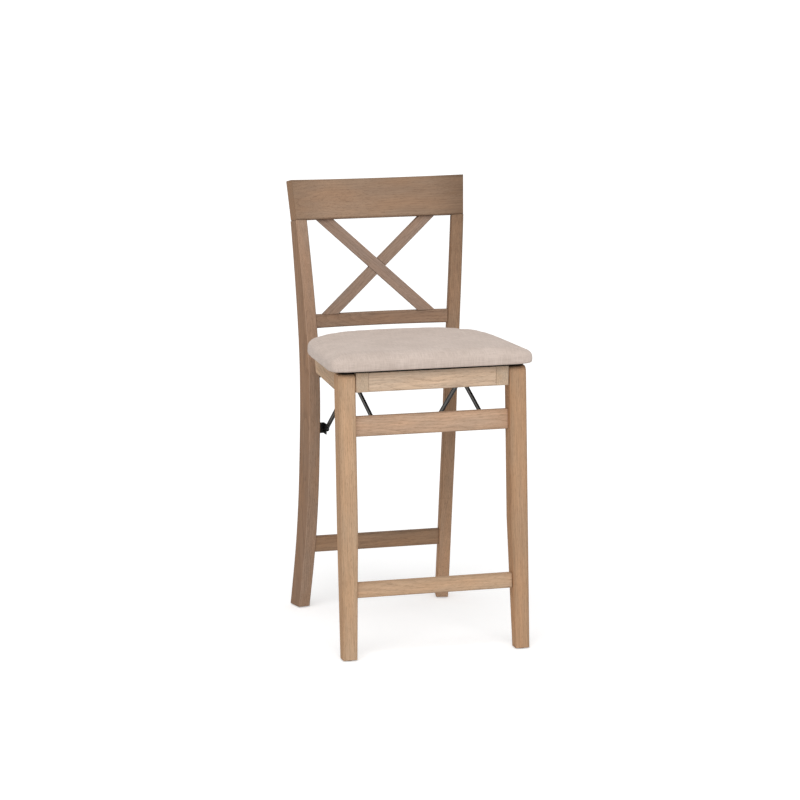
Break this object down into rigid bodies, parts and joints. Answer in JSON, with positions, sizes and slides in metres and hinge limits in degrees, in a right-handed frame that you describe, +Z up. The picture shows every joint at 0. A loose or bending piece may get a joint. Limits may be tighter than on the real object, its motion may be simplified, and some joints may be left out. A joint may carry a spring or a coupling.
{
  "type": "folding bar stool",
  "caption": "Folding wooden bar stool with a cross back, a padded seat that flips up on steel arms, and front legs that fold flat with steel knee links.",
  "frame": {"origin": "on the floor, in the middle of the stool", "axes": "+Z up, +Y to the back of the stool, +X to the right seen from in front"},
  "size_m": [0.508, 0.6342, 1.1425],
  "materials": {
    "oak_front": "washed matt oak with open grain, on the front legs, stretchers and seat frame",
    "oak_back": "washed matt oak, a shade deeper, on the rear posts and back",
    "seat_fabric": "plain fine woven upholstery cloth in warm beige",
    "dust_cloth": "black dust cloth over the seat board",
    "link_steel": "gunmetal satin steel",
    "black_steel": "black satin enamel on steel",
    "nylon": "moulded dark nylon"
  },
  "bodies": {
    "rear_frame": {"rear_post_left": "oak_back", "rear_post_right": "oak_back", "crest_rail": "oak_back", "lower_back_rail": "oak_back", "rear_stretcher": "oak_back", "cross_bar_front": "oak_back", "cross_bar_rear": "oak_back", "rear_glide_left": "nylon", "rear_glide_right": "nylon", "hinge_arm_left": "black_steel", "hinge_arm_right": "black_steel", "seat_pivot_pin_left": "link_steel", "seat_pivot_pin_right": "link_steel", "seat_pivot_washer_left": "nylon", "seat_pivot_washer_right": "nylon", "rear_link_bracket_left": "black_steel", "rear_link_bracket_right": "black_steel", "rear_link_rivet_left": "black_steel", "rear_link_rivet_right": "black_steel"},
    "seat": {"side_rail_left": "oak_front", "side_rail_right": "oak_front", "corner_block_left": "oak_front", "corner_block_right": "oak_front", "apron": "oak_front", "seat_batten": "oak_front", "seat_board": "dust_cloth", "seat_cushion": "seat_fabric", "slide_track_left": "link_steel", "slide_track_right": "link_steel", "leg_pivot_pin_left": "link_steel", "leg_pivot_pin_right": "link_steel", "leg_pivot_washer_left": "nylon", "leg_pivot_washer_right": "nylon"},
    "front_frame": {"front_leg_left": "oak_front", "front_leg_right": "oak_front", "upper_front_stretcher": "oak_front", "lower_front_stretcher": "oak_front", "front_glide_left": "nylon", "front_glide_right": "nylon", "front_link_bracket_left": "black_steel", "front_link_bracket_right": "black_steel", "front_link_rivet_left": "black_steel", "front_link_rivet_right": "black_steel"},
    "rear_link_left": {"rear_link_left": "link_steel"},
    "front_link_left": {"front_link_left": "link_steel", "knee_rivet_left": "black_steel"},
    "knee_left": {"knee_slider_left": "nylon"},
    "rear_link_right": {"rear_link_right": "link_steel"},
    "front_link_right": {"front_link_right": "link_steel", "knee_rivet_right": "black_steel"},
    "knee_right": {"knee_slider_right": "nylon"}
  },
  "joints": [
    {"name": "seat_fold", "type": "hinge", "parent": "rear_frame", "child": "seat", "pos_m": [0, 0.08578, 0.6902], "axis": [-1, 0, 0], "range_deg": [0, 89.95]},
    {"name": "front_leg_fold", "type": "hinge", "parent": "seat", "child": "front_frame", "pos_m": [0, -0.25572, 0.677], "axis": [-1, 0, 0], "range_deg": [-93.26, 0]},
    {"name": "rear_link_swing_left", "type": "hinge", "parent": "rear_frame", "child": "rear_link_left", "pos_m": [0, 0.19208, 0.4927], "axis": [-1, 0, 0], "range_deg": [0, 27.65]},
    {"name": "front_link_swing_left", "type": "hinge", "parent": "front_frame", "child": "front_link_left", "pos_m": [0, -0.23372, 0.588], "axis": [-1, 0, 0], "range_deg": [0, 127.61]},
    {"name": "knee_slide_left", "type": "slide", "parent": "seat", "child": "knee_left", "axis": [0, 1, 0], "range_m": [0, 0.0738]},
    {"name": "rear_link_swing_right", "type": "hinge", "parent": "rear_frame", "child": "rear_link_right", "pos_m": [0, 0.19208, 0.4927], "axis": [-1, 0, 0], "range_deg": [0, 27.65]},
    {"name": "front_link_swing_right", "type": "hinge", "parent": "front_frame", "child": "front_link_right", "pos_m": [0, -0.23372, 0.588], "axis": [-1, 0, 0], "range_deg": [0, 127.61]},
    {"name": "knee_slide_right", "type": "slide", "parent": "seat", "child": "knee_right", "axis": [0, 1, 0], "range_m": [0, 0.0738]}
  ],
  "couplings": [
    {"joint": "front_leg_fold", "follows": "seat_fold", "ratio": -1.0366},
    {"joint": "rear_link_swing_left", "follows": "seat_fold", "ratio": 0.30717},
    {"joint": "front_link_swing_left", "follows": "seat_fold", "ratio": 1.4184},
    {"joint": "knee_slide_left", "follows": "seat_fold", "m_per_rad": 0.046945},
    {"joint": "rear_link_swing_right", "follows": "seat_fold", "ratio": 0.30717},
    {"joint": "front_link_swing_right", "follows": "seat_fold", "ratio": 1.4184},
    {"joint": "knee_slide_right", "follows": "seat_fold", "m_per_rad": 0.046945}
  ]
}
